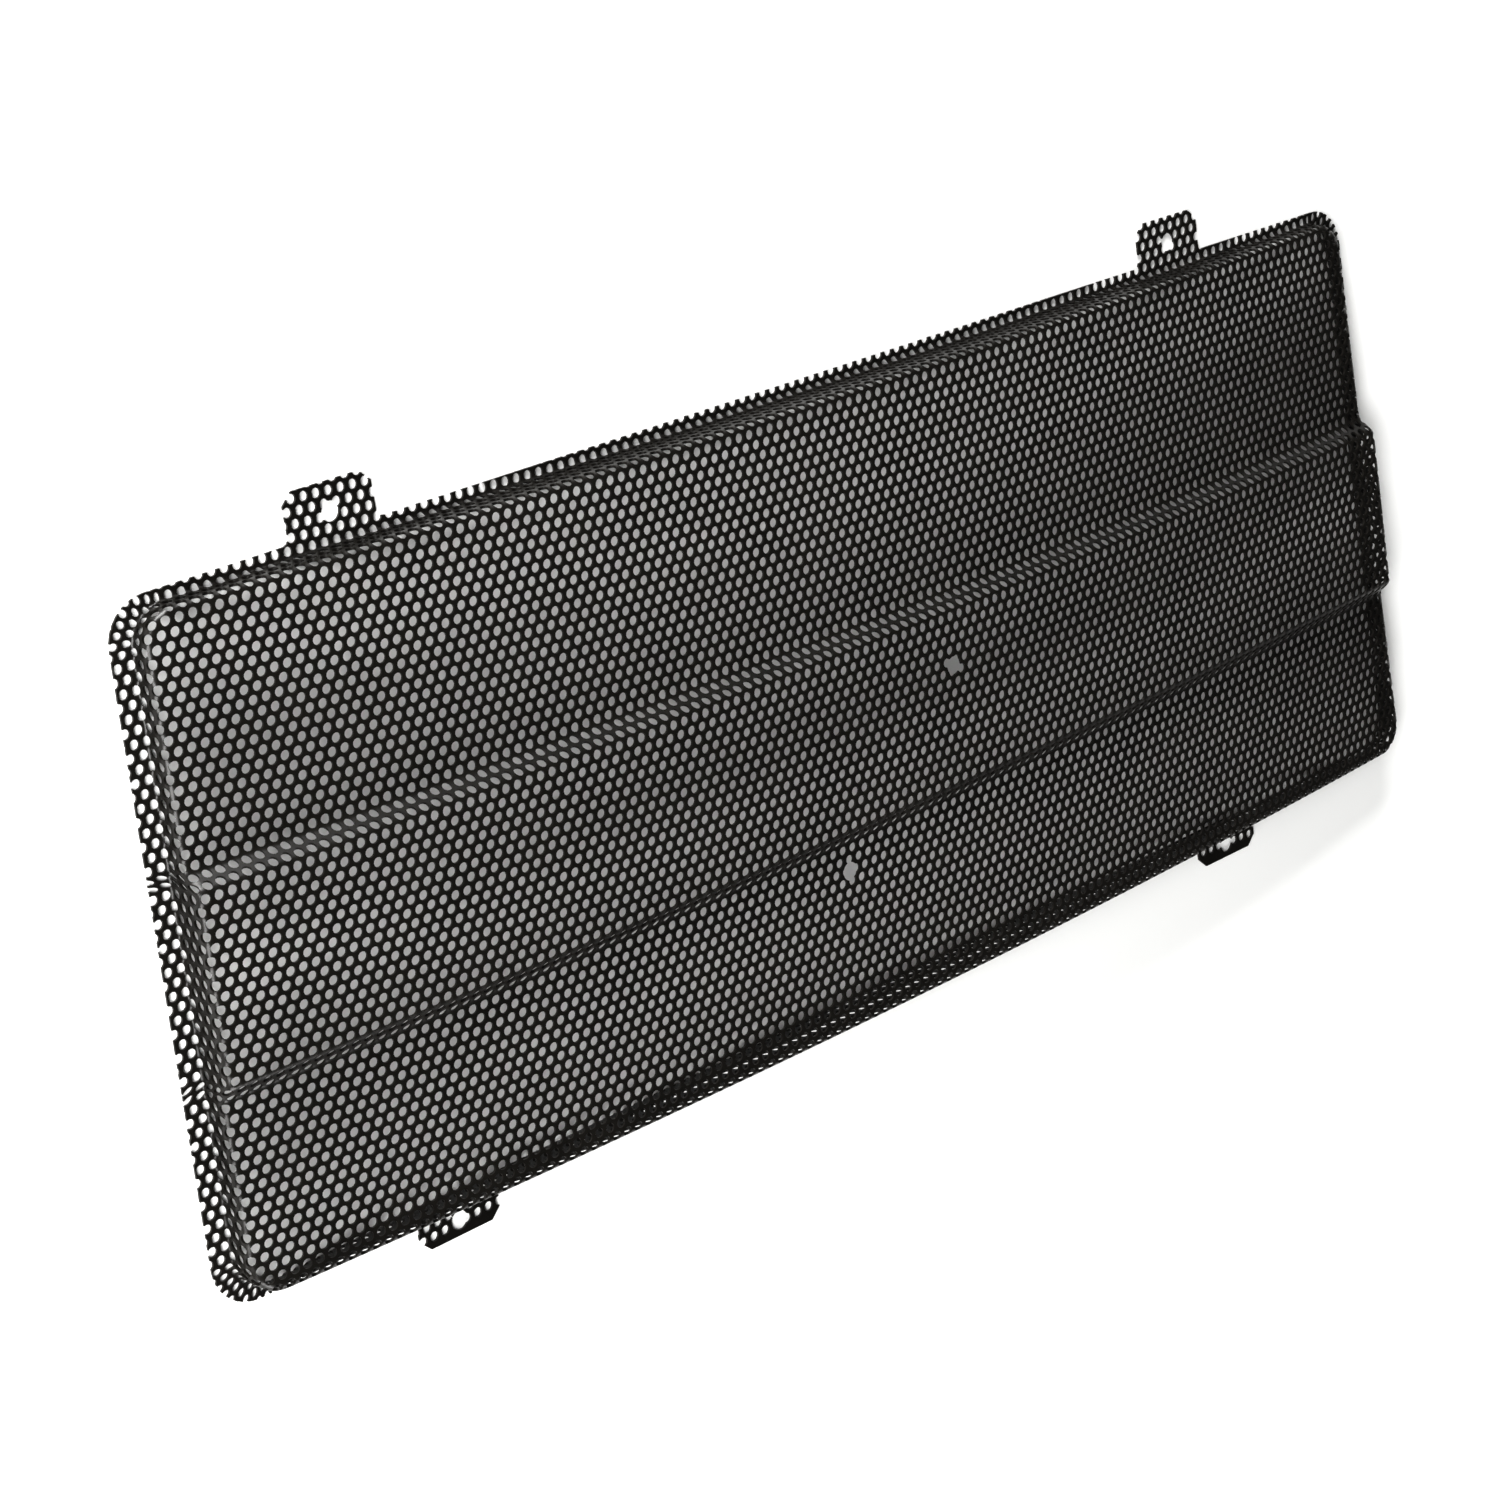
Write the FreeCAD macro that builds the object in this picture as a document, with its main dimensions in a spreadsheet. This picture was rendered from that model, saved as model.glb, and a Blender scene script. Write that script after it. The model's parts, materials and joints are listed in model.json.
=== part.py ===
"""Pressed steel screen: a shallow crowned pan with a raised middle band, a flange and four bolt tabs.

The real part is one sheet. It is drawn once as a whole pressing, and that pressing is then
divided along its bends into the zones that the nodes stand for, so that neighbouring zones
meet face to face. The perforation is a surface pattern and is not cut here.

Frame: origin at the centre of the four bolt holes, on the underside of the flange. X runs
along the long sides, -Y is the front (the narrow side of the taper), +Z is the raised side.
"""
import FreeCAD, Part
import Sketcher
import math
import os

doc = FreeCAD.newDocument("screen")

SIZES = (
    ("sheet_thickness", 1.2, "steel sheet"),
    ("bolt_span_x", 537.0, "bolt hole centres along X"),
    ("bolt_beyond_flange", 8.9, "bolt hole centres out from the edge of the side flanges"),
    ("bolt_hole_diameter", 9.5, "round hole in each tab"),
    ("tab_width", 46.0, "tab, across"),
    ("front_tab_end", 13.5, "bolt centre to the end of a front tab"),
    ("rear_tab_end", 7.5, "bolt centre to the end of a rear tab"),
    ("tab_chamfer", 5.5, "tab's outer corners"),
    ("pan_offset_x", -10.5, "middle of the pan from the middle of the bolt holes"),
    ("wall_half_length", 391.0, "pan's end walls from its middle, at Y = 0"),
    ("wall_half_width", 155.0, "pan's long walls from its middle"),
    ("wall_corner_radius", 17.0, "pan's corners, seen from above"),
    ("end_taper", 0.045, "how much further out an end is per mm of Y"),
    ("side_flange_width", 5.6, "flange along the front and the rear"),
    ("end_flange_width", 10.8, "flange along the left and the right end"),
    ("flange_corner_radius", 21.0, "flange's corners"),
    ("middle_height", 36.8, "outside of the middle band at X = pan_offset_x"),
    ("front_edge_height", 26.0, "outside of the front band at the front wall"),
    ("front_foot_height", 27.5, "outside of the front band at the foot of its step"),
    ("rear_foot_height", 29.3, "outside of the rear band at the foot of its step"),
    ("rear_edge_height", 31.2, "outside of the rear band at the rear wall"),
    ("front_foot_y", -42.4, "foot of the front step"),
    ("front_top_y", -35.1, "top of the front step"),
    ("rear_top_y", 52.8, "top of the rear step"),
    ("rear_foot_y", 59.8, "foot of the rear step"),
    ("bend_radius", 4.0, "rounding between the face and the walls, outside"),
    ("step_beyond_bend", 1.0, "how much larger the rounding of a step is than the bend's"),
    ("end_drop", 15.07, "how far the face falls along X from its middle to an end wall"),
    ("corner_zone", 30.0, "length of wall that a corner takes from each side"),
    ("centre_zone", 260.0, "length along X of the centre zones of the face"),
    ("spare_hole_diameter", 9.5, "two loose holes punched in the face"),
    ("middle_spare_x", -47.9, "spare hole in the middle band"),
    ("middle_spare_y", -7.8, "spare hole in the middle band"),
    ("rear_spare_x", 30.2, "spare hole in the rear band"),
    ("rear_spare_y", 75.3, "spare hole in the rear band"),
)


def make_sheet(rows):
    """Write the driving sizes to a spreadsheet, one aliased cell each."""
    table = doc.addObject("Spreadsheet::Sheet", "sizes")
    for number, (alias, value, note) in enumerate(rows, start=1):
        table.set(f"A{number}", alias)
        table.set(f"B{number}", str(value))
        table.set(f"C{number}", note)
        table.setAlias(f"B{number}", alias)
    doc.recompute()
    return table


sizes = make_sheet(SIZES)


def size(alias):
    return float(getattr(sizes, alias))


# ---------------------------------------------------------------- outlines

TALL = 80.0       # taller than the pan: height of the tools that cut it
MARGIN = 40.0     # how far those tools reach past it
RIM_LIP = 0.5     # level strip of the face that stays with the rounded rim


def rounded_face(corners, radii):
    """Plane face through the corner points, each corner rounded by its own radius."""
    count = len(corners)
    edges = []
    ends = []
    for i in range(count):
        here = corners[i]
        back = (corners[i - 1] - here).normalize()
        ahead = (corners[(i + 1) % count] - here).normalize()
        if radii[i] == 0:
            ends.append((here, here))
            continue
        half = math.acos(max(-1.0, min(1.0, back.dot(ahead)))) / 2
        reach = radii[i] / math.tan(half)
        centre = here + (back + ahead).normalize() * (radii[i] / math.sin(half))
        middle = centre + (here - centre).normalize() * radii[i]
        start = here + back * reach
        end = here + ahead * reach
        edges.append((i, Part.Arc(start, middle, end).toShape()))
        ends.append((start, end))
    ordered = []
    arcs = dict(edges)
    for i in range(count):
        if i in arcs:
            ordered.append(arcs[i])
        ordered.append(Part.LineSegment(ends[i][1], ends[(i + 1) % count][0]).toShape())
    return Part.Face(Part.Wire(ordered))


def plan_prism(half_length, half_width, corner_radius, low, high):
    """Upright prism on the tapered plan of the pan or the flange."""
    middle = size("pan_offset_x")
    rear = half_length + size("end_taper") * half_width
    front = half_length - size("end_taper") * half_width
    corners = [
        FreeCAD.Vector(middle - front, -half_width, low),
        FreeCAD.Vector(middle + front, -half_width, low),
        FreeCAD.Vector(middle + rear, half_width, low),
        FreeCAD.Vector(middle - rear, half_width, low),
    ]
    face = rounded_face(corners, [corner_radius] * 4)
    return face.extrude(FreeCAD.Vector(0, 0, high - low))


def face_profile():
    """Section of the face's outside in the YZ plane, from beyond the front to beyond the rear."""
    wall = size("wall_half_width")
    front_slope = (size("front_foot_height") - size("front_edge_height")) / (size("front_foot_y") + wall)
    rear_slope = (size("rear_edge_height") - size("rear_foot_height")) / (wall - size("rear_foot_y"))
    return [
        (-wall - MARGIN, size("front_edge_height") - front_slope * MARGIN),
        (size("front_foot_y"), size("front_foot_height")),
        (size("front_top_y"), size("middle_height")),
        (size("rear_top_y"), size("middle_height")),
        (size("rear_foot_y"), size("rear_foot_height")),
        (wall + MARGIN, size("rear_edge_height") + rear_slope * MARGIN),
    ]


def lowered(points, depth):
    """The same section moved inwards by the sheet's thickness, square to each run."""
    lines = []
    for (y0, z0), (y1, z1) in zip(points, points[1:]):
        length = math.hypot(y1 - y0, z1 - z0)
        shift_y = (z1 - z0) / length * depth
        shift_z = -(y1 - y0) / length * depth
        lines.append(((y0 + shift_y, z0 + shift_z), (y1 + shift_y, z1 + shift_z)))
    moved = [lines[0][0]]
    for (a, b), (c, d) in zip(lines, lines[1:]):
        run = (b[0] - a[0], b[1] - a[1])
        other = (d[0] - c[0], d[1] - c[1])
        cross = run[0] * other[1] - run[1] * other[0]
        along = ((c[0] - a[0]) * other[1] - (c[1] - a[1]) * other[0]) / cross
        moved.append((a[0] + run[0] * along, a[1] + run[1] * along))
    moved.append(lines[-1][1])
    return moved


def crown_radius():
    """Radius of the arc that the middle of the face follows along X."""
    reach = size("wall_half_length")
    drop = size("end_drop")
    return (reach ** 2 + drop ** 2) / (2 * drop)


def crowned_block(points, foot_radius, top_radius):
    """Everything under a section that is carried along the crown's arc."""
    middle = size("pan_offset_x")
    axis_z = size("middle_height") - crown_radius()
    floor = -MARGIN
    corners = [FreeCAD.Vector(0, y, z) for y, z in points]
    corners.append(FreeCAD.Vector(0, points[-1][0], floor))
    corners.append(FreeCAD.Vector(0, points[0][0], floor))
    radii = [0, foot_radius, top_radius, top_radius, foot_radius, 0, 0, 0]
    face = rounded_face(corners, radii)
    reach = size("wall_half_length") + MARGIN
    swing = math.degrees(math.asin(reach / crown_radius()))
    centre = FreeCAD.Vector(0, 0, axis_z)
    along_y = FreeCAD.Vector(0, 1, 0)
    face.rotate(centre, along_y, -swing)
    block = face.revolve(centre, along_y, 2 * swing)
    block.translate(FreeCAD.Vector(middle, 0, 0))
    return block


def rounded_top(block, radius):
    """Round the edge where the face meets the walls, all the way round."""
    rim = []
    for edge in block.Edges:
        box = edge.BoundBox
        touches_wall = 0
        touches_face = 0
        for face in block.ancestorsOfType(edge, Part.Face):
            u0, u1, v0, v1 = face.ParameterRange
            upright = abs(face.normalAt((u0 + u1) / 2, (v0 + v1) / 2).z)
            touches_wall += upright < 0.02
            touches_face += upright > 0.3
        if touches_wall == 1 and touches_face == 1 and box.ZMin > size("sheet_thickness"):
            rim.append(edge)
    return block.makeFillet(radius, rim)


# ---------------------------------------------------------------- the whole pressing

def add_shape(name, shape):
    """Put a ready shape in the document as a feature."""
    feature = doc.addObject("Part::Feature", name)
    feature.Shape = shape
    return feature


def make_pressing():
    """The pan: crowned face, walls and the bend between them, one thickness throughout."""
    thickness = size("sheet_thickness")
    length = size("wall_half_length")
    width = size("wall_half_width")
    corner = size("wall_corner_radius")
    outside = face_profile()
    inside = lowered(outside, thickness)
    # A foot is hollow from outside and a top is round, so the radii change opposite ways.
    radius = size("bend_radius") + size("step_beyond_bend")
    outer = plan_prism(length, width, corner, 0, TALL)
    outer = outer.common(crowned_block(outside, radius, radius))
    outer = rounded_top(outer, size("bend_radius"))
    inner = plan_prism(length - thickness, width - thickness, corner - thickness, -1, TALL)
    inner = inner.common(crowned_block(inside, radius + thickness, radius - thickness))
    inner = rounded_top(inner, size("bend_radius") - thickness)
    return add_shape("pressing", outer.cut(inner))


def make_flange():
    """Flat flange round the foot of the walls."""
    thickness = size("sheet_thickness")
    length = size("wall_half_length")
    width = size("wall_half_width")
    outside = plan_prism(
        length + size("end_flange_width"),
        width + size("side_flange_width"),
        size("flange_corner_radius"),
        0,
        thickness,
    )
    opening = plan_prism(length, width, size("wall_corner_radius"), -1, TALL)
    return add_shape("flange", outside.cut(opening))


def make_face_cutter():
    """Prism that parts the face from the rounded rim."""
    inset = size("bend_radius") + RIM_LIP
    prism = plan_prism(
        size("wall_half_length") - inset,
        size("wall_half_width") - inset,
        size("wall_corner_radius") - inset,
        -MARGIN,
        TALL,
    )
    return add_shape("face_cutter", prism)


def boolean(kind, name, base, tool):
    feature = doc.addObject(kind, name)
    feature.Base = base
    feature.Tool = tool
    return feature


nodes = []


def zone(label, base, low_x, high_x, low_y, high_y):
    """The part of base inside an upright box, whose sides follow the sheet."""
    box = doc.addObject("Part::Box", f"{label}_box")
    box.setExpression("Placement.Base.x", low_x)
    box.setExpression("Placement.Base.y", low_y)
    box.Placement.Base.z = -MARGIN
    box.setExpression("Length", f"({high_x}) - ({low_x})")
    box.setExpression("Width", f"({high_y}) - ({low_y})")
    box.Height = TALL + MARGIN
    part = boolean("Part::Common", label, base, box)
    part.Label = label
    nodes.append(part)
    return part


FAR_LEFT = "sizes.pan_offset_x - sizes.wall_half_length - 40"
FAR_RIGHT = "sizes.pan_offset_x + sizes.wall_half_length + 40"
FAR_FRONT = "-sizes.wall_half_width - 40"
FAR_REAR = "sizes.wall_half_width + 40"
NEAR_LEFT = "sizes.pan_offset_x - sizes.wall_half_length + sizes.corner_zone"
NEAR_RIGHT = "sizes.pan_offset_x + sizes.wall_half_length - sizes.corner_zone"
NEAR_FRONT = "-sizes.wall_half_width + sizes.corner_zone"
NEAR_REAR = "sizes.wall_half_width - sizes.corner_zone"
MIDDLE = "sizes.pan_offset_x"


def spare_hole(band, name):
    """Punch one round hole down through a band."""
    drill = doc.addObject("Part::Cylinder", f"{name}_drill")
    drill.setExpression("Radius", "sizes.spare_hole_diameter / 2")
    drill.setExpression("Placement.Base.x", f"sizes.{name}_spare_x")
    drill.setExpression("Placement.Base.y", f"sizes.{name}_spare_y")
    drill.Height = TALL
    label = band.Label
    band.Label = f"{label}_blank"
    punched = boolean("Part::Cut", f"{label}_punched", band, drill)
    punched.Label = label
    nodes[nodes.index(band)] = punched


def make_face_zones(face):
    """Three bands and the two steps between them, each in three lengths along X.

    The face is crowned, so a third of a band is close to flat where a whole band isn't.
    """
    breaks = (
        ("front_band", FAR_FRONT, "sizes.front_foot_y"),
        ("front_step", "sizes.front_foot_y", "sizes.front_top_y"),
        ("middle_band", "sizes.front_top_y", "sizes.rear_top_y"),
        ("rear_step", "sizes.rear_top_y", "sizes.rear_foot_y"),
        ("rear_band", "sizes.rear_foot_y", FAR_REAR),
    )
    lengths = (
        ("left", FAR_LEFT, "sizes.pan_offset_x - sizes.centre_zone / 2"),
        (
            "centre",
            "sizes.pan_offset_x - sizes.centre_zone / 2",
            "sizes.pan_offset_x + sizes.centre_zone / 2",
        ),
        ("right", "sizes.pan_offset_x + sizes.centre_zone / 2", FAR_RIGHT),
    )
    made = {}
    for band, low_y, high_y in breaks:
        for length, low_x, high_x in lengths:
            label = f"{band}_{length}"
            made[label] = zone(label, face, low_x, high_x, low_y, high_y)
    spare_hole(made["middle_band_centre"], "middle")
    spare_hole(made["rear_band_centre"], "rear")


def make_straight_zones(base, ending):
    """The four straight sides of a ring: the walls, or the flange."""
    zone(f"front_{ending}", base, NEAR_LEFT, NEAR_RIGHT, FAR_FRONT, NEAR_FRONT)
    zone(f"rear_{ending}", base, NEAR_LEFT, NEAR_RIGHT, NEAR_REAR, FAR_REAR)
    zone(f"left_{ending}", base, FAR_LEFT, MIDDLE, NEAR_FRONT, NEAR_REAR)
    zone(f"right_{ending}", base, MIDDLE, FAR_RIGHT, NEAR_FRONT, NEAR_REAR)


def make_corner_zones(rim_and_flange):
    """The four corners, each with its stretch of wall and of flange."""
    for end, low_x, high_x in (("left", FAR_LEFT, NEAR_LEFT), ("right", NEAR_RIGHT, FAR_RIGHT)):
        zone(f"corner_front_{end}", rim_and_flange, low_x, high_x, FAR_FRONT, NEAR_FRONT)
        zone(f"corner_rear_{end}", rim_and_flange, low_x, high_x, NEAR_REAR, FAR_REAR)


# ---------------------------------------------------------------- tabs

def plane_of(body, role):
    return next(item for item in body.Origin.OriginFeatures if item.Role == role)


def make_tab(label, side_x, side_y, tab_end):
    """A bolt tab: a plate from the flange's edge outwards, drawn round its own bolt centre."""
    body = doc.addObject("PartDesign::Body", label)
    body.Label = label

    outline = body.newObject("Sketcher::SketchObject", f"{label}_outline")
    outline.AttachmentSupport = (plane_of(body, "XY_Plane"), [""])
    outline.MapMode = "FlatFace"
    half = size("tab_width") / 2
    near = size("bolt_beyond_flange")
    far = size(tab_end)
    points = [(-half, -near), (half, -near), (half, far), (-half, far)]
    for (x0, y0), (x1, y1) in zip(points, points[1:] + points[:1]):
        outline.addGeometry(Part.LineSegment(FreeCAD.Vector(x0, y0, 0), FreeCAD.Vector(x1, y1, 0)))
    for i in range(4):
        outline.addConstraint(Sketcher.Constraint("Coincident", i, 2, (i + 1) % 4, 1))
    for i in (0, 2):
        outline.addConstraint(Sketcher.Constraint("Horizontal", i))
    for i in (1, 3):
        outline.addConstraint(Sketcher.Constraint("Vertical", i))
    for name, constraint, formula in (
        ("width", Sketcher.Constraint("DistanceX", 0, 1, 0, 2, 2 * half), "sizes.tab_width"),
        ("left", Sketcher.Constraint("DistanceX", 0, 1, -1, 1, half), "sizes.tab_width / 2"),
        ("root", Sketcher.Constraint("DistanceY", 0, 1, -1, 1, near), "sizes.bolt_beyond_flange"),
        ("end", Sketcher.Constraint("DistanceY", -1, 1, 2, 1, far), f"sizes.{tab_end}"),
    ):
        index = outline.addConstraint(constraint)
        outline.renameConstraint(index, name)
        outline.setExpression(f"Constraints.{name}", formula)

    plate = body.newObject("PartDesign::Pad", f"{label}_plate")
    plate.Profile = outline
    plate.setExpression("Length", "sizes.sheet_thickness")
    doc.recompute()

    corners = []
    for number, edge in enumerate(plate.Shape.Edges, start=1):
        box = edge.BoundBox
        if box.ZLength > box.XLength + box.YLength and box.YMin > far / 2:
            corners.append(f"Edge{number}")
    chamfer = body.newObject("PartDesign::Chamfer", f"{label}_chamfer")
    chamfer.Base = (plate, corners)
    chamfer.setExpression("Size", "sizes.tab_chamfer")

    ring = body.newObject("Sketcher::SketchObject", f"{label}_ring")
    ring.AttachmentSupport = (plane_of(body, "XY_Plane"), [""])
    ring.MapMode = "FlatFace"
    radius = size("bolt_hole_diameter") / 2
    ring.addGeometry(Part.Circle(FreeCAD.Vector(0, 0, 0), FreeCAD.Vector(0, 0, 1), radius))
    ring.addConstraint(Sketcher.Constraint("Coincident", 0, 3, -1, 1))
    index = ring.addConstraint(Sketcher.Constraint("Radius", 0, radius))
    ring.renameConstraint(index, "radius")
    ring.setExpression("Constraints.radius", "sizes.bolt_hole_diameter / 2")
    hole = body.newObject("PartDesign::Pocket", f"{label}_hole")
    hole.Profile = ring
    hole.Type = "ThroughAll"
    hole.Midplane = True

    turn = 0 if side_y > 0 else 180
    body.setExpression("Placement.Base.x", f"{side_x} * sizes.bolt_span_x / 2")
    bolt_y = "(sizes.wall_half_width + sizes.side_flange_width + sizes.bolt_beyond_flange)"
    body.setExpression("Placement.Base.y", f"{side_y} * {bolt_y}")
    body.Placement.Rotation = FreeCAD.Rotation(FreeCAD.Vector(0, 0, 1), turn)
    nodes.append(body)


# ---------------------------------------------------------------- build

pressing = make_pressing()
flange = make_flange()
face_cutter = make_face_cutter()
face = boolean("Part::Common", "face", pressing, face_cutter)
rim = boolean("Part::Cut", "rim", pressing, face_cutter)
rim_and_flange = boolean("Part::Fuse", "rim_and_flange", rim, flange)

make_face_zones(face)
make_straight_zones(rim, "wall")
make_straight_zones(flange, "flange")
make_corner_zones(rim_and_flange)
for tab_side, tab_sign in (("left", -1), ("right", 1)):
    make_tab(f"tab_front_{tab_side}", tab_sign, -1, "front_tab_end")
    make_tab(f"tab_rear_{tab_side}", tab_sign, 1, "rear_tab_end")
doc.recompute()

for item in doc.Objects:
    if "Invalid" in item.State or "Error" in item.State:
        raise RuntimeError(f"{item.Name} failed: {item.State}")
os.makedirs("parts", exist_ok=True)
for node in nodes:
    shape = node.Shape
    if shape.isNull() or not shape.isValid() or len(shape.Solids) != 1:
        raise RuntimeError(f"{node.Label} is not one valid solid")
    print(f"{node.Label:20s} {shape.Volume / 1000:9.3f} cm3")
for node in nodes:
    node.Shape.exportStep(f"parts/{node.Label}.step")
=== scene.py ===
"""Pressed screen of perforated steel in satin black paint, lying face up on a pale studio floor.

The sheet is made as it is in the shop. One punched cell is copied into a flat perforated blank,
the blank is pressed over the form and its edge and bolt holes are cut. The sheet is then parted
into three lengthwise pieces, and each piece gets its thickness.
"""
import json
import math

import bpy
import numpy as np
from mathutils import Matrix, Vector


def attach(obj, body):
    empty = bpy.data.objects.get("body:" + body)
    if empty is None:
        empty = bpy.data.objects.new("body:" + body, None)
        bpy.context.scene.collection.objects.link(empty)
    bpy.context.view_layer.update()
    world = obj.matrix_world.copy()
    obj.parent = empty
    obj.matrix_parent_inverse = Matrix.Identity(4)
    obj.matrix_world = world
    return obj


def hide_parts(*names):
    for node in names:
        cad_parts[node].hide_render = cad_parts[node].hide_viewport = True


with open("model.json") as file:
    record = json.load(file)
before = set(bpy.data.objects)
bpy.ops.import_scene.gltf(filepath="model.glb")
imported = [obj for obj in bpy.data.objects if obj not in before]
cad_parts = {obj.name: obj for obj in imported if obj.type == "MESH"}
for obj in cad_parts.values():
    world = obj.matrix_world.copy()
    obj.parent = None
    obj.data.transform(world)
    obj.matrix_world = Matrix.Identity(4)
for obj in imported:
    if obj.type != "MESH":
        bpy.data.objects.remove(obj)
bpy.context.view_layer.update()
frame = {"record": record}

MM = 0.001

# Perforation
PITCH = 6.35 * MM               # between hole centres, on staggered rows
ROW_STEP = PITCH * math.sqrt(3) / 2
HOLE_RADIUS = 2.38 * MM
HOLE_SIDES = 12
FIRST_HOLE = (14.8 * MM, -4.9 * MM)   # one hole's centre on the blank, from the pan's middle
BLANK_COLUMNS = 138             # the blank reaches past the trimmed edge all round
BLANK_ROWS = 80

# The pressing, measured to the middle of the sheet's thickness
SHEET = 1.2 * MM
PAN_X = -10.5 * MM              # the pan's middle, from the middle of the bolt pattern
WALL_HALF_LENGTH = 390.4 * MM
WALL_HALF_WIDTH = 154.4 * MM
WALL_CORNER = 16.4 * MM
TAPER = 0.045                   # slant of the end walls seen from above, X per length along Y
CROWN_RADIUS = 5080 * MM        # the arc that the face follows along X
TOP_BEND = 3.4 * MM             # rounding between the face and the walls
FOOT_BEND = 2.2 * MM            # rounding between the walls and the flange
FLANGE_HEIGHT = SHEET / 2
MIDDLE_HEIGHT = 36.2 * MM

# Section of the face from front to rear: place along Y, height, rounding. Both ends lie past the walls.
SECTION = (
    (-195.0 * MM, 24.87 * MM, 0.0),
    (-42.4 * MM, 26.9 * MM, 5.6 * MM),
    (-35.1 * MM, MIDDLE_HEIGHT, 4.4 * MM),
    (52.8 * MM, MIDDLE_HEIGHT, 4.4 * MM),
    (59.8 * MM, 28.7 * MM, 5.6 * MM),
    (195.0 * MM, 31.4 * MM, 0.0),
)

# Trimmed edge
SIDE_FLANGE = 5.6 * MM
END_FLANGE = 10.8 * MM
FLANGE_CORNER = 21.0 * MM
TAB_WIDTH = 46.0 * MM
TAB_CHAMFER = 5.5 * MM
TAB_ROOT = 3.0 * MM             # size of the corner where a tab leaves the flange
ROOT_EASE = 0.3                 # where that corner's middle point lies, as a share of its size
FRONT_TAB_END = 13.4 * MM       # past the bolt hole, 0.1 mm short to keep the edge in bounds
REAR_TAB_END = 7.4 * MM
REAR_MARGIN = 1.0 * MM          # least solid sheet between a hole and the end of a rear tab

# Lengthwise pieces of the sheet, parted between cells
THIRDS = ("left", "centre", "right")
CENTRE_LENGTH = 260.0 * MM

# Modelling
BLANK_WELD = 0.05 * MM          # joins the copies of the cell
CUT_WELD = 0.01 * MM            # joins the sheet again after a cut, and clears slivers
ARC_SPACING = 0.1 * MM          # between points of the section's arcs
CORNER_STEPS = 8                # straight stretches in a corner of the flange
RING_SIDES = 18                 # sides of a bolt hole or a loose hole
TINY = 1e-9                     # keeps a divisor from being zero
SMOOTH_ANGLE = 40               # degrees

# Finish
GRAIN_SCALE = 900.0
PATCHINESS = 0.12
GRAIN_STRENGTH = 0.35
SPECULAR_LEVEL = 0.4
MOTTLE = 1.5                    # how many times lighter the paint's light patches are
DUST_COLOUR = (0.16, 0.15, 0.135)
FLOOR_COLOUR = (0.82, 0.82, 0.81, 1)
FLOOR_ROUGHNESS = 0.7

# The Mix node's sockets for colours
COLOUR_A, COLOUR_B, COLOUR_RESULT = 6, 7, 2

# Studio
FLOOR_RADIUS = 2.3
FLOOR_SIDES = 96
HORIZON = {"From Min": 0.03, "From Max": 0.14, "To Min": 1.3, "To Max": 0.05}
EXPOSURE = 0.1
GAMMA = 0.72
CAMERA_PLACE = (1.0086, -0.4918, 1.1813)
CAMERA_TURN = (-11.569, -40.949, 169.61)    # degrees
SENSOR_WIDTH = 36.0
LENS = 79.3
CLIP_END = 50.0


# ---------------------------------------------------------------- small helpers

def only(piece):
    """Select one object and make it active."""
    if bpy.context.mode != "OBJECT":
        bpy.ops.object.mode_set(mode="OBJECT")
    bpy.ops.object.select_all(action="DESELECT")
    piece.select_set(True)
    bpy.context.view_layer.objects.active = piece
    return piece


def add_modifier(piece, kind, **values):
    """Add a modifier with the given values and apply it."""
    only(piece)
    modifier = piece.modifiers.new(kind.title(), kind)
    for key, value in values.items():
        setattr(modifier, key, value)
    bpy.ops.object.modifier_apply(modifier=modifier.name)


def points_of(piece):
    """Places of an object's points, one row each."""
    data = np.zeros(len(piece.data.vertices) * 3)
    piece.data.vertices.foreach_get("co", data)
    return data.reshape(-1, 3)


def face_centres(piece):
    """Centres of an object's faces, one row each."""
    data = np.zeros(len(piece.data.polygons) * 3)
    piece.data.polygons.foreach_get("center", data)
    return data.reshape(-1, 3)


def select_faces(piece, chosen):
    """Select exactly the chosen faces, ready for an edit-mode operator."""
    mesh = only(piece).data
    bpy.ops.object.mode_set(mode="EDIT")
    bpy.ops.mesh.select_mode(type="FACE")
    bpy.ops.mesh.select_all(action="DESELECT")
    bpy.ops.object.mode_set(mode="OBJECT")
    mesh.polygons.foreach_set("select", np.asarray(chosen, dtype=bool))
    bpy.ops.object.mode_set(mode="EDIT")


def merge_doubles(piece, reach):
    """Merge the points that lie within reach of each other."""
    only(piece)
    bpy.ops.object.mode_set(mode="EDIT")
    bpy.ops.mesh.select_mode(type="VERT")
    bpy.ops.mesh.select_all(action="SELECT")
    bpy.ops.mesh.remove_doubles(threshold=reach)
    bpy.ops.object.mode_set(mode="OBJECT")


# ---------------------------------------------------------------- the perforated blank

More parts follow.
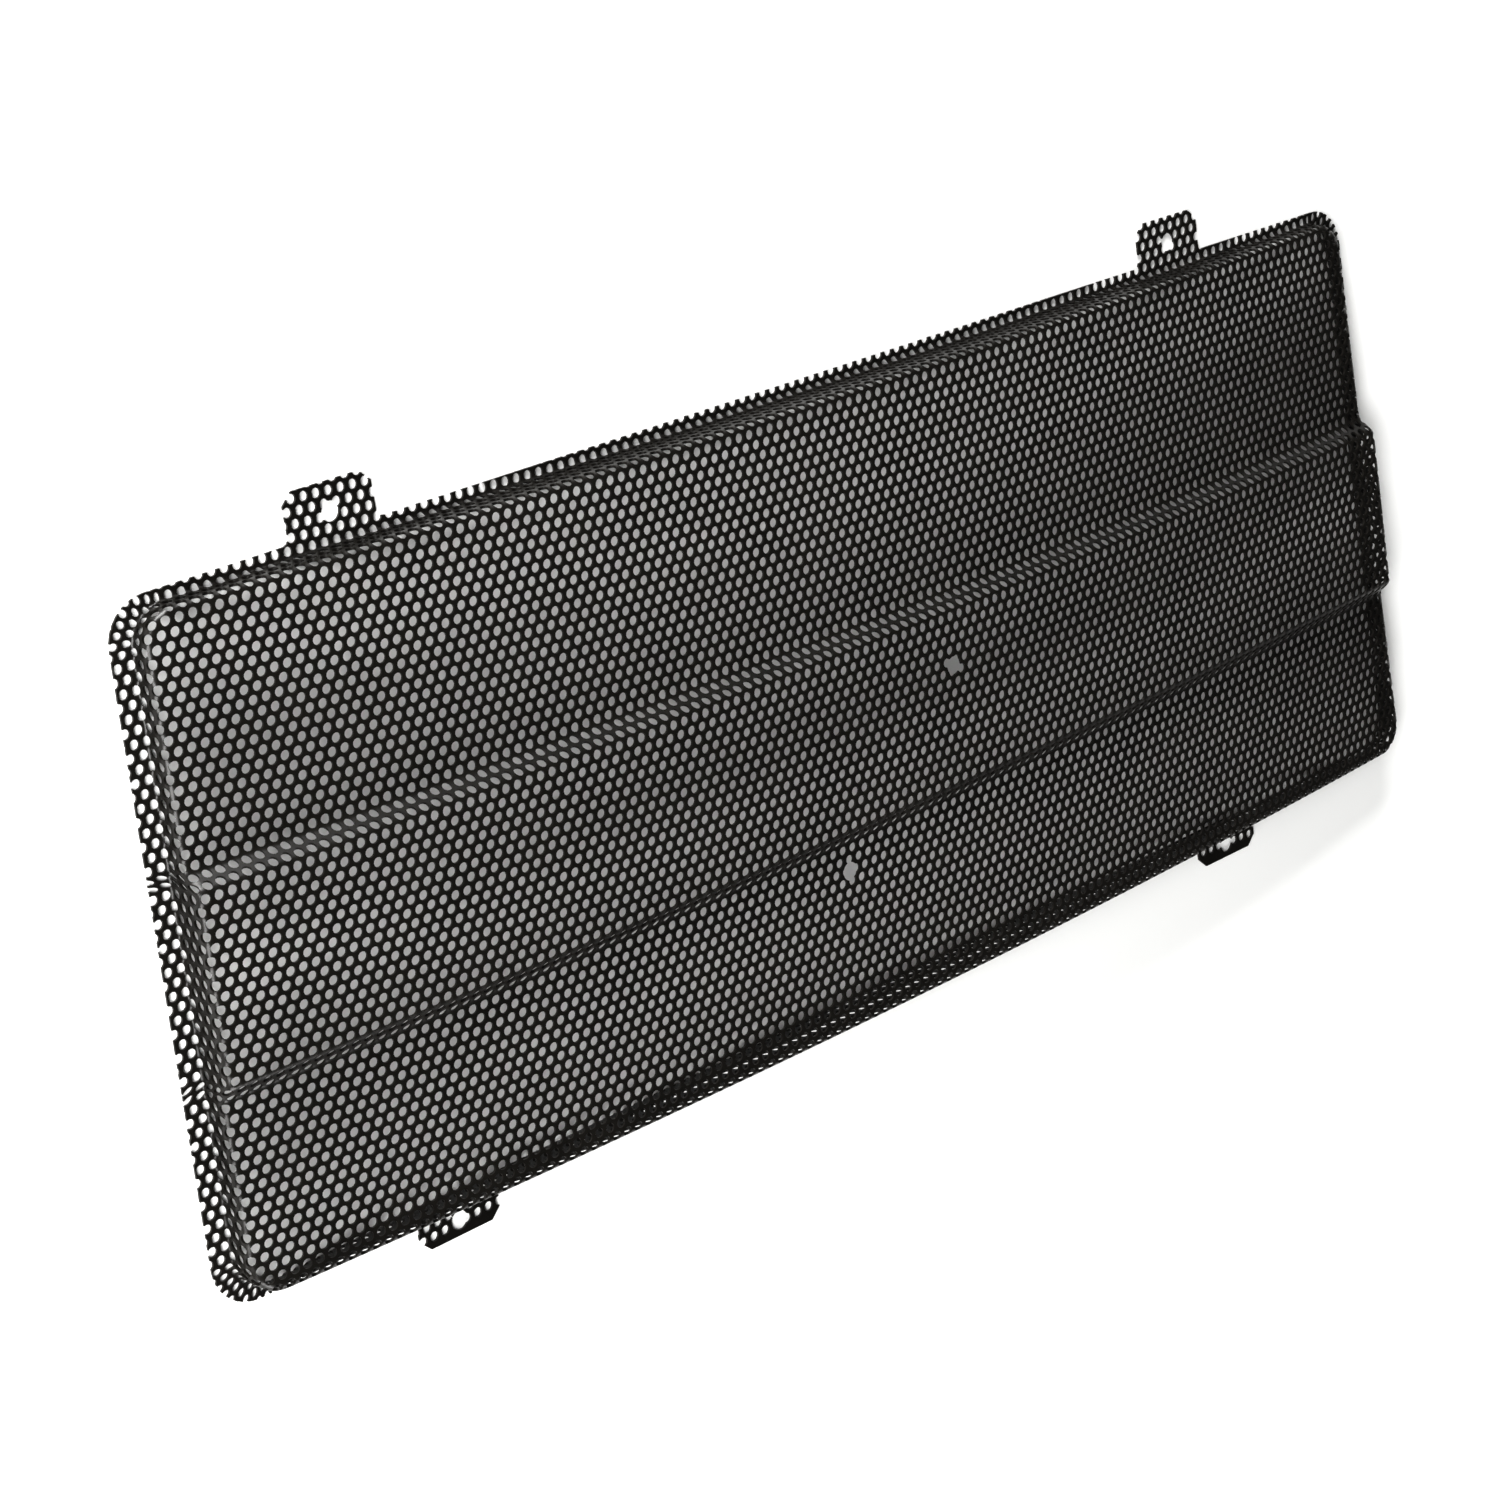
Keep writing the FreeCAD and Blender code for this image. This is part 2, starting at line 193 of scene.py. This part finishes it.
def make_cell():
    """One six-sided cell with its round hole: a ring of quads, hole rim to cell edge."""
    bpy.ops.object.select_all(action="DESELECT")
    bpy.ops.mesh.primitive_circle_add(vertices=HOLE_SIDES, radius=HOLE_RADIUS, fill_type="NOTHING")
    cell = bpy.context.object
    cell.name = "blank"
    # The rim value runs from 1 at the hole's edge to 0 at the cell's edge; it places the scuffs and the
    # painted highlight.
    rim = cell.data.attributes.new("rim", "FLOAT", "POINT")
    rim.data.foreach_set("value", [1.0] * HOLE_SIDES)
    bpy.ops.object.mode_set(mode="EDIT")
    bpy.ops.mesh.select_all(action="SELECT")
    bpy.ops.mesh.extrude_edges_move()
    bpy.ops.object.mode_set(mode="OBJECT")

    # The new ring is the second half of the points: every other one is a corner of the hexagon.
    flat = PITCH / 2
    corner = flat / math.cos(math.pi / 6)
    for number, vertex in enumerate(cell.data.vertices):
        if number < HOLE_SIDES:
            continue
        angle = math.atan2(vertex.co.y, vertex.co.x)
        sixth = round(angle / (math.pi / 6))
        reach = corner if sixth % 2 else flat
        vertex.co = reach * math.cos(angle), reach * math.sin(angle), 0
        cell.data.attributes["rim"].data[number].value = 0.0
    return cell


def make_blank(columns, rows):
    """Copy the cell along a row, copy the row half a pitch over, and repeat the pair."""
    blank = make_cell()
    add_modifier(
        blank, "ARRAY", count=columns, use_relative_offset=False, use_constant_offset=True,
        constant_offset_displace=(PITCH, 0, 0), use_merge_vertices=True,
        merge_threshold=BLANK_WELD,
    )
    only(blank)
    bpy.ops.object.duplicate()
    second = bpy.context.object
    bpy.ops.transform.translate(value=(PITCH / 2, ROW_STEP, 0))
    bpy.ops.object.transform_apply(location=True, rotation=False, scale=False)
    only(blank)
    second.select_set(True)
    bpy.ops.object.join()
    add_modifier(
        blank, "ARRAY", count=rows // 2, use_relative_offset=False, use_constant_offset=True,
        constant_offset_displace=(0, 2 * ROW_STEP, 0), use_merge_vertices=False,
    )
    merge_doubles(blank, BLANK_WELD)
    only(blank)
    bpy.ops.transform.translate(value=(
        FIRST_HOLE[0] - (columns // 2) * PITCH,
        FIRST_HOLE[1] - (rows // 4) * 2 * ROW_STEP,
        0,
    ))
    bpy.ops.object.transform_apply(location=True, rotation=False, scale=False)
    return blank


def mark_slices(blank):
    """Give each face the number of its slice, by the nearest hole, so slices part between cells."""
    centres = face_centres(blank)
    row = np.round((centres[:, 1] - FIRST_HOLE[1]) / ROW_STEP)
    columns, distances = [], []
    for step in (-1, 0, 1):
        y = FIRST_HOLE[1] + (row + step) * ROW_STEP
        shift = FIRST_HOLE[0] + np.where((row + step) % 2 == 0, 0, PITCH / 2)
        x = shift + np.round((centres[:, 0] - shift) / PITCH) * PITCH
        columns.append(x)
        distances.append(np.hypot(centres[:, 0] - x, centres[:, 1] - y))
    column_x = np.choose(np.argmin(distances, axis=0), columns)
    number = (column_x > -CENTRE_LENGTH / 2).astype(np.int32) + (column_x > CENTRE_LENGTH / 2)
    slices = blank.data.attributes.new("slice", "INT", "FACE")
    slices.data.foreach_set("value", number)


# ---------------------------------------------------------------- the press

def rounded_path(corners):
    """The section as closely spaced points, with an arc at each corner, and the length along it."""
    points = []
    for i, (y, z, radius) in enumerate(corners):
        here = Vector((y, z))
        if radius == 0:
            points.append([here])
            continue
        back = (Vector(corners[i - 1][:2]) - here).normalized()
        ahead = (Vector(corners[i + 1][:2]) - here).normalized()
        half = math.acos(back.dot(ahead)) / 2
        centre = here + (back + ahead).normalized() * (radius / math.sin(half))
        start = here + back * (radius / math.tan(half)) - centre
        end = here + ahead * (radius / math.tan(half)) - centre
        sweep = start.angle_signed(end)
        count = max(2, int(abs(sweep) * radius / ARC_SPACING))
        arc = []
        for k in range(count + 1):
            turn = -sweep * k / count
            arc.append(centre + Vector((
                start.x * math.cos(turn) - start.y * math.sin(turn),
                start.x * math.sin(turn) + start.y * math.cos(turn),
            )))
        points.append(arc)
    line = np.array([tuple(point) for arc in points for point in arc])
    length = np.concatenate([[0], np.cumsum(np.hypot(*np.diff(line, axis=0).T))])
    return line[:, 0], line[:, 1], length


SECTION_Y, SECTION_Z, SECTION_LENGTH = rounded_path(SECTION)
SECTION_LENGTH = SECTION_LENGTH - np.interp(0, SECTION_Y, SECTION_LENGTH)


def face_height(x, y):
    """Height of the face: the section carried along the crown's arc."""
    radius = CROWN_RADIUS + np.interp(y, SECTION_Y, SECTION_Z) - MIDDLE_HEIGHT
    return MIDDLE_HEIGHT - CROWN_RADIUS + np.sqrt(radius ** 2 - (x - PAN_X) ** 2)


def press(blank):
    """Move each point of the flat blank to its place on the pressing.

    A point keeps its distance along the sheet: over the face, round the bend, down the wall and
    out along the flange. Round a corner the cells are drawn together, as they are in the press.
    """
    flat = points_of(blank)
    u, v = flat[:, 0], flat[:, 1]
    core_round = WALL_CORNER - TOP_BEND
    edge_y = WALL_HALF_WIDTH - TOP_BEND
    front = np.interp(-edge_y, SECTION_Y, SECTION_LENGTH) + core_round
    rear = np.interp(edge_y, SECTION_Y, SECTION_LENGTH) - core_round
    core_v = np.clip(v, front, rear)
    half_length = WALL_HALF_LENGTH - TOP_BEND + TAPER * np.interp(core_v, SECTION_LENGTH, SECTION_Y)
    half_length = CROWN_RADIUS * np.arcsin(half_length / CROWN_RADIUS) - core_round
    core_u = np.clip(u, -half_length, half_length)
    away = np.hypot(u - core_u, v - core_v)
    safe = np.maximum(away, TINY)
    out_u = (u - core_u) / safe
    out_v = (v - core_v) / safe
    on_face = np.minimum(away, core_round)
    beyond = np.maximum(away - core_round, 0)

    x = PAN_X + CROWN_RADIUS * np.sin((core_u + out_u * on_face) / CROWN_RADIUS)
    y = np.interp(core_v + out_v * on_face, SECTION_LENGTH, SECTION_Y)
    top = face_height(x, y)

    # Outward and downward travel along the four stretches: bend, wall, foot bend, flange
    wall = top - TOP_BEND - FOOT_BEND - FLANGE_HEIGHT
    bend = np.clip(beyond / TOP_BEND, 0, math.pi / 2)
    beyond = np.maximum(beyond - TOP_BEND * math.pi / 2, 0)
    down = np.minimum(beyond, wall)
    beyond = beyond - down
    foot = np.clip(beyond / FOOT_BEND, 0, math.pi / 2)
    beyond = np.maximum(beyond - FOOT_BEND * math.pi / 2, 0)
    out = TOP_BEND * np.sin(bend) + FOOT_BEND * (1 - np.cos(foot)) + beyond
    drop = TOP_BEND * (1 - np.cos(bend)) + down + FOOT_BEND * np.sin(foot)

    placed = np.column_stack([x + out_u * out, y + out_v * out, top - drop])
    blank.data.vertices.foreach_set("co", placed.ravel())
    blank.data.update()


# ---------------------------------------------------------------- trimming

def bolt_place():
    """Distances of the bolt holes from the middle, along X and along Y."""
    pattern = next(mount for mount in frame["record"]["mounts"] if mount["kind"] == "bolt_pattern")
    return pattern["dims"]["spacing_x_mm"] / 2 * MM, pattern["dims"]["spacing_y_mm"] / 2 * MM


def close_rear_margin(blank):
    """Fill the holes that would reach the ends of the rear tabs or leave too thin a margin there."""
    last_hole = bolt_place()[1] + REAR_TAB_END - HOLE_RADIUS - REAR_MARGIN
    ring_middle = (HOLE_RADIUS + PITCH / 2) / 2
    select_faces(blank, face_centres(blank)[:, 1] > last_hole - ring_middle)
    bpy.ops.mesh.fill_holes(sides=HOLE_SIDES)
    bpy.ops.object.mode_set(mode="OBJECT")


def arc_points(centre, radius, start, end, count):
    """Points of an arc, angles in degrees."""
    angles = np.radians(np.linspace(start, end, count + 1))
    return [(centre[0] + radius * math.cos(a), centre[1] + radius * math.sin(a)) for a in angles]


def ring_points(centre, radius):
    """Points of a whole circle."""
    return np.array(arc_points(centre, radius, 0, 360 - 360 / RING_SIDES, RING_SIDES - 1))


def tab_points(x, edge, end, side):
    """Outline of a tab on the front (side -1) or rear (side 1), from its left root to its right."""
    half = TAB_WIDTH / 2
    tip = side * end
    left = [
        (x - half - TAB_ROOT, side * edge),
        (x - half - TAB_ROOT * ROOT_EASE, side * (edge + TAB_ROOT * ROOT_EASE)),
        (x - half, side * (edge + TAB_ROOT)),
        (x - half, tip - side * TAB_CHAMFER),
        (x - half + TAB_CHAMFER, tip),
    ]
    return left + [(2 * x - px, py) for px, py in reversed(left)]


def trimmed_edge():
    """The flange's outline with its four tabs, anticlockwise from the front left corner."""
    bolt_x, bolt_y = bolt_place()
    edge = WALL_HALF_WIDTH + SHEET / 2 + SIDE_FLANGE
    length = WALL_HALF_LENGTH + SHEET / 2 + END_FLANGE
    inner = edge - FLANGE_CORNER
    slanted = FLANGE_CORNER * math.sqrt(1 + TAPER ** 2)
    front = length - TAPER * inner - slanted
    rear = length + TAPER * inner - slanted
    tilt = math.degrees(math.atan(TAPER))
    outline = []
    outline += arc_points((PAN_X - front, -inner), FLANGE_CORNER, 180 + tilt, 270, CORNER_STEPS)
    outline += tab_points(-bolt_x, edge, bolt_y + FRONT_TAB_END, -1)
    outline += tab_points(bolt_x, edge, bolt_y + FRONT_TAB_END, -1)
    outline += arc_points((PAN_X + front, -inner), FLANGE_CORNER, 270, 360 - tilt, CORNER_STEPS)
    outline += arc_points((PAN_X + rear, inner), FLANGE_CORNER, -tilt, 90, CORNER_STEPS)
    outline += list(reversed(tab_points(bolt_x, edge, bolt_y + REAR_TAB_END, 1)))
    outline += list(reversed(tab_points(-bolt_x, edge, bolt_y + REAR_TAB_END, 1)))
    outline += arc_points((PAN_X - rear, inner), FLANGE_CORNER, 90, 180 + tilt, CORNER_STEPS)
    return np.array(outline)


def inside(loop, points):
    """Which points lie inside the closed loop, seen from above."""
    result = np.zeros(len(points), dtype=bool)
    x, y = points[:, 0], points[:, 1]
    for (ax, ay), (bx, by) in zip(loop, np.roll(loop, -1, axis=0)):
        crosses = (ay > y) != (by > y)
        if ay == by:
            continue
        result ^= crosses & (x < (bx - ax) * (y - ay) / (by - ay) + ax)
    return result


def distance_to(start, end, points):
    """Distance of each point from a straight stretch, seen from above."""
    along = end - start
    share = np.clip(((points[:, :2] - start) @ along) / (along @ along), 0, 1)
    return np.hypot(*(points[:, :2] - start - share[:, None] * along).T)


def cut(sheet, loop, keep_inside):
    """Cut the sheet straight down along a closed loop and remove one side of it."""
    stretches = list(zip(loop, np.roll(loop, -1, axis=0)))
    reach = PITCH / 2
    centres = face_centres(sheet)
    near = np.zeros(len(centres), dtype=bool)
    for start, end in stretches:
        near |= distance_to(start, end, centres) < reach
    select_faces(sheet, near)
    bpy.ops.mesh.separate(type="SELECTED")
    bpy.ops.object.mode_set(mode="OBJECT")
    border = next(piece for piece in bpy.context.selected_objects if piece != sheet)
    for start, end in stretches:
        across = Vector((end[1] - start[1], start[0] - end[0], 0)).normalized()
        select_faces(border, distance_to(start, end, face_centres(border)) < reach)
        bpy.ops.mesh.bisect(plane_co=(start[0], start[1], 0), plane_no=across)
        bpy.ops.object.mode_set(mode="OBJECT")
    only(sheet)
    border.select_set(True)
    bpy.ops.object.join()
    merge_doubles(sheet, CUT_WELD)
    select_faces(sheet, inside(loop, face_centres(sheet)) != keep_inside)
    bpy.ops.mesh.delete(type="FACE")
    bpy.ops.object.mode_set(mode="OBJECT")


def punched_holes():
    """Centre and radius of each bolt hole and each loose hole, in the record's order."""
    holes = []
    for mount in frame["record"]["mounts"]:
        if mount["kind"] == "bolt_pattern":
            radius = mount["dims"]["hole_r_mm"] * MM
            half_x, half_y = bolt_place()
            signs = [(side_x, side_y) for side_x in (-1, 1) for side_y in (-1, 1)]
            holes += [((side_x * half_x, side_y * half_y), radius) for side_x, side_y in signs]
        if mount["kind"] == "bore":
            holes.append((mount["pos_m"][:2], mount["dims"]["r_mm"] * MM))
    return holes


def trim(sheet):
    """Trim the edge, and punch the four bolt holes and the two loose ones."""
    cut(sheet, trimmed_edge(), keep_inside=True)
    for centre, radius in punched_holes():
        cut(sheet, ring_points(centre, radius), keep_inside=False)


def drop_scraps(sheet):
    """Remove the slivers that the cuts have parted from the sheet."""
    only(sheet)
    bpy.ops.object.mode_set(mode="EDIT")
    bpy.ops.mesh.select_all(action="SELECT")
    bpy.ops.mesh.delete_loose()
    bpy.ops.mesh.select_all(action="SELECT")
    bpy.ops.mesh.dissolve_degenerate(threshold=CUT_WELD)
    bpy.ops.mesh.select_all(action="SELECT")
    bpy.ops.mesh.separate(type="LOOSE")
    bpy.ops.object.mode_set(mode="OBJECT")
    parts = sorted(bpy.context.selected_objects, key=lambda piece: len(piece.data.polygons))
    whole = parts.pop()
    for scrap in parts:
        bpy.data.objects.remove(scrap)
    whole.name = "sheet"
    return whole


def slice_sheet(sheet):
    """Part the sheet into its lengthwise pieces."""
    pieces = []
    for number in range(len(THIRDS) - 1):
        values = np.zeros(len(sheet.data.polygons), dtype=np.int32)
        sheet.data.attributes["slice"].data.foreach_get("value", values)
        select_faces(sheet, values == number)
        bpy.ops.mesh.separate(type="SELECTED")
        bpy.ops.object.mode_set(mode="OBJECT")
        pieces.append(next(piece for piece in bpy.context.selected_objects if piece != sheet))
    pieces.append(sheet)
    return pieces


# ---------------------------------------------------------------- finishes

def add_node(tree, kind, **values):
    """Add a shader node with the given settings."""
    node = tree.nodes.new(kind)
    for key, value in values.items():
        setattr(node, key, value)
    return node


def new_group(name, inputs, outputs):
    """An empty shader group with named sockets."""
    group = bpy.data.node_groups.new(name, "ShaderNodeTree")
    for label, kind, value in inputs:
        socket = group.interface.new_socket(label, in_out="INPUT", socket_type=kind)
        socket.default_value = value
    for label, kind in outputs:
        group.interface.new_socket(label, in_out="OUTPUT", socket_type=kind)
    return group, group.nodes.new("NodeGroupInput"), group.nodes.new("NodeGroupOutput")


def math_node(tree, operation, first, second, clamp=False):
    """Combine two values, each a number or another node's output."""
    node = add_node(tree, "ShaderNodeMath", operation=operation, use_clamp=clamp)
    for socket, value in zip(node.inputs, (first, second)):
        if isinstance(value, (int, float)):
            socket.default_value = value
        else:
            tree.links.new(value, socket)
    return node.outputs["Value"]


def noise_node(tree, scale, detail, roughness=0.5):
    """Noise that is fixed to the object."""
    place = add_node(tree, "ShaderNodeTexCoord")
    noise = add_node(tree, "ShaderNodeTexNoise")
    tree.links.new(place.outputs["Object"], noise.inputs["Vector"])
    noise.inputs["Detail"].default_value = detail
    noise.inputs["Roughness"].default_value = roughness
    if isinstance(scale, (int, float)):
        noise.inputs["Scale"].default_value = scale
    else:
        tree.links.new(scale, noise.inputs["Scale"])
    return noise.outputs["Fac"]


def ramp_node(tree, value, low, high):
    """Map low to high onto 0 to 1, and hold it there past either end."""
    node = add_node(tree, "ShaderNodeMapRange", clamp=True)
    tree.links.new(value, node.inputs["Value"])
    node.inputs["From Min"].default_value = low
    node.inputs["From Max"].default_value = high
    return node.outputs["Result"]


def make_grain_group():
    """Fine orange peel of sprayed paint, with slow patches of more and less gloss."""
    group, given, result = new_group(
        "paint_grain",
        [("Grain Scale", "NodeSocketFloat", GRAIN_SCALE), ("Roughness", "NodeSocketFloat", 0.4),
         ("Patchiness", "NodeSocketFloat", 0.1)],
        [("Height", "NodeSocketFloat"), ("Roughness", "NodeSocketFloat")],
    )
    peel = noise_node(group, given.outputs["Grain Scale"], detail=2.0)
    patches = noise_node(group, scale=18.0, detail=4.0, roughness=0.6)
    centred = math_node(group, "SUBTRACT", patches, 0.5)
    swing = math_node(group, "MULTIPLY", centred, given.outputs["Patchiness"])
    rough = math_node(group, "ADD", given.outputs["Roughness"], swing, clamp=True)
    group.links.new(peel, result.inputs["Height"])
    group.links.new(rough, result.inputs["Roughness"])
    return group


def make_wear_and_highlight_group():
    """Paint scuffed thin round the holes, in scattered places, made lighter there: partly real scuffs and
    partly a painted highlight along the hole edges.
    """
    group, given, result = new_group(
        "edge_wear_and_highlight",
        [("Amount", "NodeSocketFloat", 0.3)],
        [("Mask", "NodeSocketFloat")],
    )
    rim = add_node(group, "ShaderNodeAttribute", attribute_name="rim")
    edge = ramp_node(group, rim.outputs["Fac"], low=0.75, high=1.0)
    scatter = ramp_node(group, noise_node(group, scale=260.0, detail=3.0), low=0.5, high=0.68)
    zones = ramp_node(group, noise_node(group, scale=9.0, detail=2.0), low=0.42, high=0.62)
    mask = math_node(group, "MULTIPLY", edge, scatter)
    mask = math_node(group, "MULTIPLY", mask, zones)
    mask = math_node(group, "MULTIPLY", mask, given.outputs["Amount"], clamp=True)
    group.links.new(mask, result.inputs["Mask"])
    return group


def make_dust_group():
    """Dust that lies on what faces up, uneven and thicker in places."""
    group, given, result = new_group(
        "settled_dust",
        [("Amount", "NodeSocketFloat", 0.1)],
        [("Mask", "NodeSocketFloat")],
    )
    surface = add_node(group, "ShaderNodeNewGeometry")
    facing = add_node(group, "ShaderNodeSeparateXYZ")
    group.links.new(surface.outputs["Normal"], facing.inputs["Vector"])
    upward = ramp_node(group, facing.outputs["Z"], low=0.25, high=1.0)
    cloud = ramp_node(group, noise_node(group, scale=14.0, detail=6.0, roughness=0.62), low=0.35, high=0.75)
    speck = ramp_node(group, noise_node(group, scale=1400.0, detail=1.0), low=0.45, high=0.8)
    between_specks = 0.35
    mixed = math_node(group, "MULTIPLY", cloud, math_node(group, "ADD", speck, between_specks))
    mask = math_node(group, "MULTIPLY", upward, mixed)
    mask = math_node(group, "MULTIPLY", mask, given.outputs["Amount"], clamp=True)
    group.links.new(mask, result.inputs["Mask"])
    return group


GRAIN = make_grain_group()
WEAR_AND_HIGHLIGHT = make_wear_and_highlight_group()
DUST = make_dust_group()


def mix_colour(tree, mask, first, second):
    """The first colour where the mask is 0 and the second where it is 1."""
    node = add_node(tree, "ShaderNodeMix", data_type="RGBA")
    tree.links.new(mask, node.inputs["Factor"])
    for socket, value in ((node.inputs[COLOUR_A], first), (node.inputs[COLOUR_B], second)):
        if isinstance(value, tuple):
            socket.default_value = (*value, 1.0)
        else:
            tree.links.new(value, socket)
    return node.outputs[COLOUR_RESULT]


def use_group(tree, group, **values):
    """Put a shader group in a material and set its inputs."""
    node = add_node(tree, "ShaderNodeGroup", node_tree=group)
    for label, value in values.items():
        node.inputs[label.replace("_", " ")].default_value = value
    return node.outputs


def painted_steel(name, paint, wear_and_highlight_colour, roughness, grain_depth, wear_and_highlight_amount, dust_amount):
    """Satin paint on steel: grain, gloss patches, hole edges lighter from scuffs and a painted highlight,
    and a little dust.
    """
    material = bpy.data.materials.new(name)
    material.use_nodes = True
    tree = material.node_tree
    shader = tree.nodes["Principled BSDF"]
    grain = use_group(tree, GRAIN, Grain_Scale=GRAIN_SCALE, Roughness=roughness, Patchiness=PATCHINESS)
    rim_wear_and_highlight = use_group(tree, WEAR_AND_HIGHLIGHT, Amount=wear_and_highlight_amount)
    settled = use_group(tree, DUST, Amount=dust_amount)
    patches = ramp_node(tree, noise_node(tree, scale=30.0, detail=3.0), low=0.3, high=0.7)
    tone = mix_colour(tree, patches, paint, tuple(channel * MOTTLE for channel in paint))
    # Lighter hole edges: scuffed paint and, in part, a painted highlight standing in for the glint of a
    # rounded edge.
    tone = mix_colour(tree, rim_wear_and_highlight["Mask"], tone, wear_and_highlight_colour)
    tone = mix_colour(tree, settled["Mask"], tone, DUST_COLOUR)
    bump = add_node(tree, "ShaderNodeBump")
    bump.inputs["Strength"].default_value = GRAIN_STRENGTH
    bump.inputs["Distance"].default_value = grain_depth
    tree.links.new(grain["Height"], bump.inputs["Height"])
    tree.links.new(bump.outputs["Normal"], shader.inputs["Normal"])
    tree.links.new(tone, shader.inputs["Base Color"])
    rough = math_node(tree, "ADD", grain["Roughness"], settled["Mask"], clamp=True)
    tree.links.new(rough, shader.inputs["Roughness"])
    shader.inputs["Specular IOR Level"].default_value = SPECULAR_LEVEL
    return material


# ---------------------------------------------------------------- build the screen

blank = make_blank(columns=BLANK_COLUMNS, rows=BLANK_ROWS)
mark_slices(blank)
press(blank)
close_rear_margin(blank)
trim(blank)
sheet = drop_scraps(blank)

# The lighter colour and amount for the hole edges paint scuffs and also a painted highlight.
face_paint = painted_steel(
    "satin_black_paint", paint=(0.0085, 0.0077, 0.0065), wear_and_highlight_colour=(0.06, 0.056, 0.05),
    roughness=0.30, grain_depth=0.00006, wear_and_highlight_amount=0.06, dust_amount=0.012,
)
edge_paint = painted_steel(
    "punched_edge_paint", paint=(0.0100, 0.0090, 0.0076), wear_and_highlight_colour=(0.09, 0.085, 0.075),
    roughness=0.36, grain_depth=0.00009, wear_and_highlight_amount=0.10, dust_amount=0.01,
)

FACE_ZONES = ("front_band", "front_step", "middle_band", "rear_step", "rear_band")
LONG_NODES = ("front_wall", "rear_wall", "front_flange", "rear_flange")


def nodes_of(third):
    """CAD zones that a third of the sheet stands for."""
    nodes = [f"{zone}_{third}" for zone in FACE_ZONES] + list(LONG_NODES)
    if third != "centre":
        nodes += [f"{third}_wall", f"{third}_flange"]
        for kind in ("corner", "tab"):
            nodes += [f"{kind}_front_{third}", f"{kind}_rear_{third}"]
    return nodes


for third, piece in zip(THIRDS, slice_sheet(sheet)):
    piece.name = f"sheet_{third}"
    piece.data.name = piece.name
    piece.data.materials.clear()
    piece.data.materials.append(face_paint)
    piece.data.materials.append(edge_paint)
    add_modifier(
        piece, "SOLIDIFY", thickness=SHEET, offset=0.0, use_even_offset=False,
        use_rim=True, material_offset_rim=1,
    )
    only(piece)
    bpy.ops.object.shade_smooth_by_angle(angle=math.radians(SMOOTH_ANGLE))
    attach(piece, "root")
    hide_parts(*nodes_of(third))

# ---------------------------------------------------------------- floor, light and camera

bpy.ops.object.select_all(action="DESELECT")
bpy.ops.mesh.primitive_circle_add(
    vertices=FLOOR_SIDES, radius=FLOOR_RADIUS, fill_type="NGON", location=(0, 0, 0),
)
floor = bpy.context.object
floor.name = "floor"
floor_finish = bpy.data.materials.new("pale_floor")
floor_finish.use_nodes = True
floor_shader = floor_finish.node_tree.nodes["Principled BSDF"]
floor_shader.inputs["Base Color"].default_value = FLOOR_COLOUR
floor_shader.inputs["Roughness"].default_value = FLOOR_ROUGHNESS
floor.data.materials.append(floor_finish)


def make_world():
    """White all round at floor level, and dim above it."""
    world = bpy.data.worlds.new("studio")
    world.use_nodes = True
    tree = world.node_tree
    background = tree.nodes["Background"]
    background.inputs["Color"].default_value = (1, 1, 1, 1)
    direction = add_node(tree, "ShaderNodeTexCoord")
    rise = add_node(tree, "ShaderNodeSeparateXYZ")
    tree.links.new(direction.outputs["Generated"], rise.inputs["Vector"])
    strength = add_node(tree, "ShaderNodeMapRange", clamp=True)
    tree.links.new(rise.outputs["Z"], strength.inputs["Value"])
    for label, value in HORIZON.items():
        strength.inputs[label].default_value = value
    tree.links.new(strength.outputs["Result"], background.inputs["Strength"])
    return world


bpy.context.scene.world = make_world()
view = bpy.context.scene.view_settings
view.view_transform = "Standard"
view.exposure = EXPOSURE
view.gamma = GAMMA


def softbox(name, place, aim, width, height, power):
    """A large area lamp at place, turned to face aim."""
    bpy.ops.object.light_add(type="AREA", location=place)
    lamp = bpy.context.object
    lamp.name = name
    lamp.data.shape = "RECTANGLE"
    lamp.data.size = width
    lamp.data.size_y = height
    lamp.data.energy = power
    lamp.rotation_euler = (Vector(aim) - Vector(place)).to_track_quat("-Z", "Y").to_euler()


softbox("front_softbox", place=(0.6, -2.9, 0.9), aim=(0, 0, 0), width=2.4, height=0.8, power=190)
softbox("right_softbox", place=(2.3, -0.1, 1.5), aim=(0.4, 0, 0), width=2.2, height=1.3, power=135)
softbox("rear_softbox", place=(0.6, 2.9, 1.1), aim=(0, 0, 0), width=2.8, height=0.9, power=100)

bpy.ops.object.camera_add(location=CAMERA_PLACE)
camera = bpy.context.object
camera.name = "camera"
camera.rotation_euler = [math.radians(angle) for angle in CAMERA_TURN]
camera.data.sensor_width = SENSOR_WIDTH
camera.data.lens = LENS
camera.data.clip_end = CLIP_END
bpy.context.scene.camera = camera
